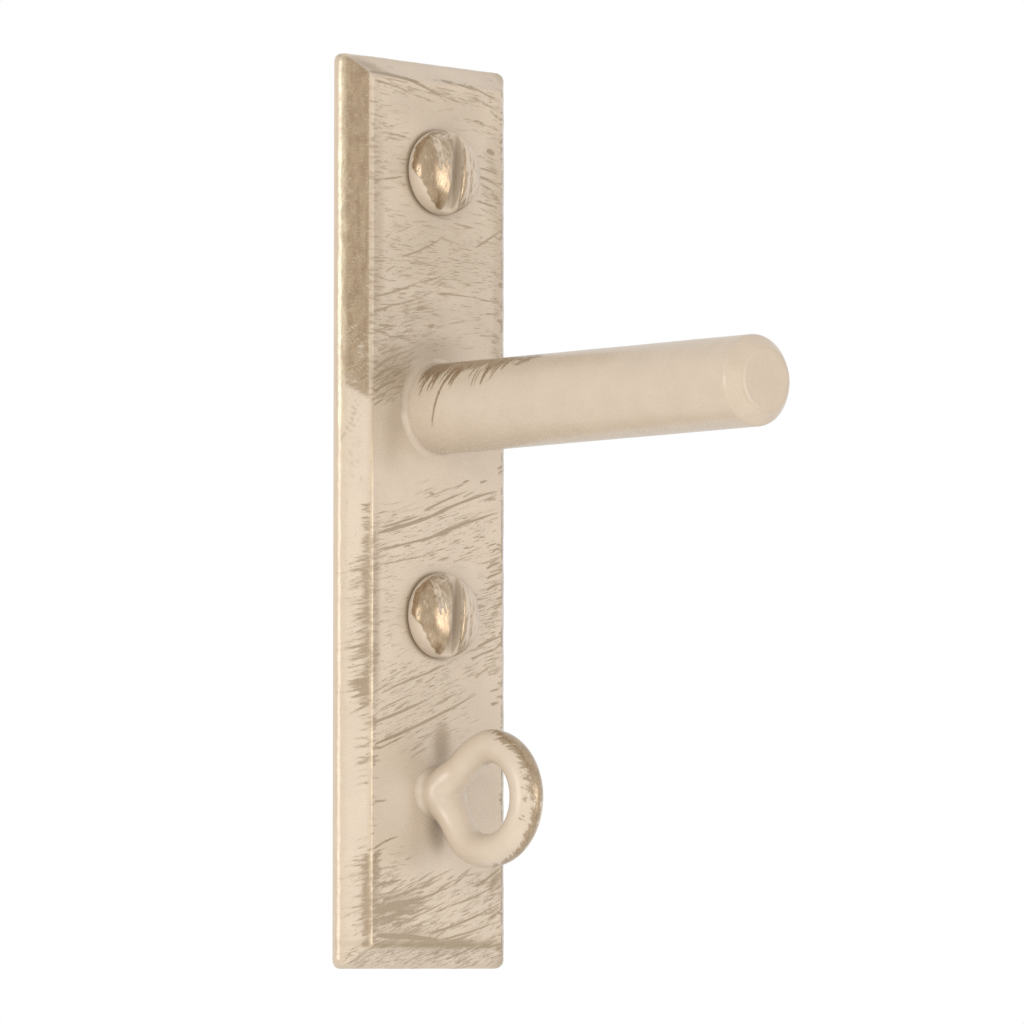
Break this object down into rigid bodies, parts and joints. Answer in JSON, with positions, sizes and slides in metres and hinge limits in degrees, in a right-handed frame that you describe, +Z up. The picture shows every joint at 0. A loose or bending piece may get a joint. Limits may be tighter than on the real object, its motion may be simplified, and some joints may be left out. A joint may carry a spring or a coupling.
{
  "type": "curtain rod return bracket",
  "caption": "Bevelled wall plate with a round post that a hollow curtain rod slides over, a turning eye below it for the end ring, and slotted round-head wood screws.",
  "frame": {"origin": "centre of the back plate's flat rear face, which lies on the wall", "axes": "+Z up along the plate's length, +Y into the wall (out of the rear face), +X to the right when facing the bracket"},
  "size_m": [0.0248, 0.0661, 0.1],
  "materials": {
    "cream_paint_over_gold": "satin cream paint over champagne gold, brushed and rubbed through in dry strokes and along the edges",
    "rubbed_gold": "champagne gold metal with remains of cream paint, satin to polished",
    "zinc_plated_steel": "bright zinc plating, satin"
  },
  "bodies": {
    "bracket": {"back_plate": "cream_paint_over_gold", "post": "cream_paint_over_gold", "post_fixing_screw": "zinc_plated_steel", "upper_wall_screw": "rubbed_gold", "lower_wall_screw": "rubbed_gold"},
    "eye_assembly": {"eye": "cream_paint_over_gold", "eye_washer": "zinc_plated_steel", "eye_nut": "zinc_plated_steel"}
  },
  "joints": [
    {"name": "eye_swivel", "type": "hinge", "parent": "bracket", "child": "eye_assembly", "pos_m": [0, -0.0035, -0.0307], "axis": [0, -1, 0], "continuous": true}
  ]
}
